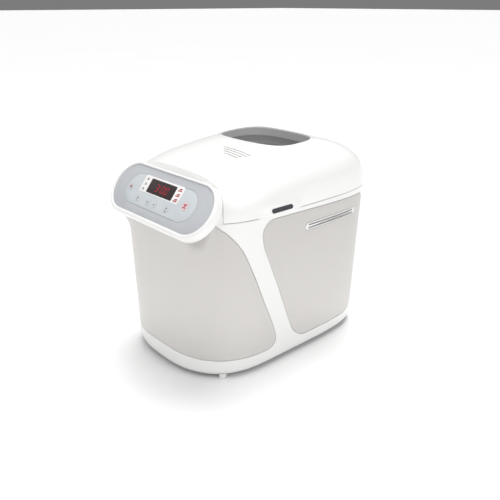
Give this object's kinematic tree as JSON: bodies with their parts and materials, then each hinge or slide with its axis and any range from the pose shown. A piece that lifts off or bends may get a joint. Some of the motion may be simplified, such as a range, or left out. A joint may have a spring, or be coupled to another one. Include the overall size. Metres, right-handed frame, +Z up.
{
  "type": "bread machine",
  "caption": "Countertop bread machine with a domed windowed lid, tilted key console, lift-out pan, belt-driven kneading paddle and silver side panels.",
  "frame": {"origin": "on the surface it stands on, under the middle of the machine's outline", "axes": "+X to the machine's right, -Y towards its console, +Z up"},
  "size_m": [0.2518, 0.3484, 0.305],
  "materials": {
    "white_shell": "glossy moulded",
    "silver_skin": "satin silver lacquer",
    "white_trim": "glossy moulded",
    "grey_face": "satin",
    "key_film": "satin",
    "key_caps": "satin",
    "start_cap": "satin",
    "display_dark": "gloss",
    "display_red": "lit digits",
    "smoked_glass": "smoked",
    "clear_glass": "clear",
    "deck_plastic": "fine texture",
    "chamber_steel": "rolled sheet",
    "bracket_steel": "zinc plated",
    "heater_steel": "oxidised sheath",
    "ceramic_white": "unglazed",
    "sensor_steel": "drawn tube",
    "spring_steel": "bright spring strip",
    "cast_alloy": "die cast",
    "bronze_bush": "sintered",
    "shaft_steel": "ground",
    "pulley_plastic": "moulded",
    "belt_rubber": "ribbed",
    "motor_steel": "plated can",
    "capacitor_plastic": "moulded",
    "board_green": "printed board",
    "pan_coating": "non-stick coated",
    "silicone_grey": "silicone",
    "silicone_red": "silicone",
    "pad_rubber": "soft",
    "inlet_black": "moulded",
    "screw_steel": "zinc plated"
  },
  "bodies": {
    "machine": {"housing": "white_shell", "base_plate": "deck_plastic", "front_panel": "silver_skin", "neck_fairing": "silver_skin", "right_panel": "silver_skin", "left_panel": "silver_skin", "right_grille": "white_trim", "left_grille": "white_trim", "top_deck": "white_trim", "oven_chamber": "chamber_steel", "chamber_bracket": "bracket_steel", "heating_element": "heater_steel", "element_insulators": "ceramic_white", "temperature_probe": "sensor_steel", "probe_clip": "spring_steel", "pan_clips": "spring_steel", "spindle_housing": "cast_alloy", "upper_bush": "bronze_bush", "lower_bush": "bronze_bush", "drive_belt": "belt_rubber", "motor_body": "motor_steel", "motor_bracket": "bracket_steel", "motor_capacitor": "capacitor_plastic", "power_board": "board_green", "control_board": "board_green", "display_module": "display_red", "display_lens": "display_dark", "console_shell": "white_trim", "console_face": "grey_face", "key_plate": "key_film", "mains_inlet": "inlet_black", "feet": "white_trim", "screws": "screw_steel"},
    "drive": {"drive_spindle": "shaft_steel", "drive_coupling": "cast_alloy", "large_pulley": "pulley_plastic"},
    "motor_rotor": {"motor_shaft": "shaft_steel", "motor_pulley": "cast_alloy"},
    "pan": {"bread_pan": "pan_coating", "pan_foot_ring": "cast_alloy", "bail_rivets": "shaft_steel", "pan_seal": "silicone_red"},
    "bail": {"pan_handle": "shaft_steel"},
    "paddle": {"pan_shaft": "shaft_steel", "pan_coupling": "cast_alloy", "kneading_paddle": "pan_coating"},
    "lid": {"lid_shell": "white_shell", "lid_liner": "deck_plastic", "window_ring": "white_trim", "window_glass": "smoked_glass", "inner_glass": "clear_glass", "lid_seal": "silicone_grey", "grip_pads": "pad_rubber", "hinge_pins": "shaft_steel"},
    "key_menu": {"key_menu": "key_caps"},
    "key_colour": {"key_colour": "key_caps"},
    "key_time_down": {"key_time_down": "key_caps"},
    "key_time_up": {"key_time_up": "key_caps"},
    "key_size": {"key_size": "key_caps"},
    "key_start": {"key_start": "start_cap"}
  },
  "joints": [
    {"name": "lid_hinge", "type": "hinge", "parent": "machine", "child": "lid", "pos_m": [0, 0.1704, 0.236], "axis": [-1, 0, 0], "range_deg": [0, 80]},
    {"name": "pan_lift", "type": "slide", "parent": "machine", "child": "pan", "axis": [0, 0, 1], "range_m": [0, 0.04]},
    {"name": "bail_swing", "type": "hinge", "parent": "pan", "child": "bail", "pos_m": [0, 0.043, 0.2026], "axis": [1, 0, 0], "range_deg": [0, 180]},
    {"name": "drive_spin", "type": "hinge", "parent": "machine", "child": "drive", "pos_m": [0, 0.043, 0.03], "axis": [0, 0, 1], "continuous": true},
    {"name": "motor_spin", "type": "hinge", "parent": "machine", "child": "motor_rotor", "pos_m": [0.046, -0.08, 0.03], "axis": [0, 0, 1], "continuous": true},
    {"name": "paddle_spin", "type": "hinge", "parent": "pan", "child": "paddle", "pos_m": [0, 0.043, 0.1], "axis": [0, 0, 1], "continuous": true},
    {"name": "key_menu_press", "type": "slide", "parent": "machine", "child": "key_menu", "axis": [0, 0.7771, -0.6293], "range_m": [0, 0.0008], "stiffness_N_per_m": 900, "springref_m": -0.0004},
    {"name": "key_colour_press", "type": "slide", "parent": "machine", "child": "key_colour", "axis": [0, 0.7771, -0.6293], "range_m": [0, 0.0008], "stiffness_N_per_m": 900, "springref_m": -0.0004},
    {"name": "key_time_down_press", "type": "slide", "parent": "machine", "child": "key_time_down", "axis": [0, 0.7771, -0.6293], "range_m": [0, 0.0008], "stiffness_N_per_m": 900, "springref_m": -0.0004},
    {"name": "key_time_up_press", "type": "slide", "parent": "machine", "child": "key_time_up", "axis": [0, 0.7771, -0.6293], "range_m": [0, 0.0008], "stiffness_N_per_m": 900, "springref_m": -0.0004},
    {"name": "key_size_press", "type": "slide", "parent": "machine", "child": "key_size", "axis": [0, 0.7771, -0.6293], "range_m": [0, 0.0008], "stiffness_N_per_m": 900, "springref_m": -0.0004},
    {"name": "key_start_press", "type": "slide", "parent": "machine", "child": "key_start", "axis": [0, 0.7771, -0.6293], "range_m": [0, 0.0008], "stiffness_N_per_m": 900, "springref_m": -0.0004}
  ],
  "couplings": [
    {"joint": "motor_spin", "follows": "drive_spin", "ratio": 5.321},
    {"joint": "paddle_spin", "follows": "drive_spin", "ratio": 1}
  ]
}
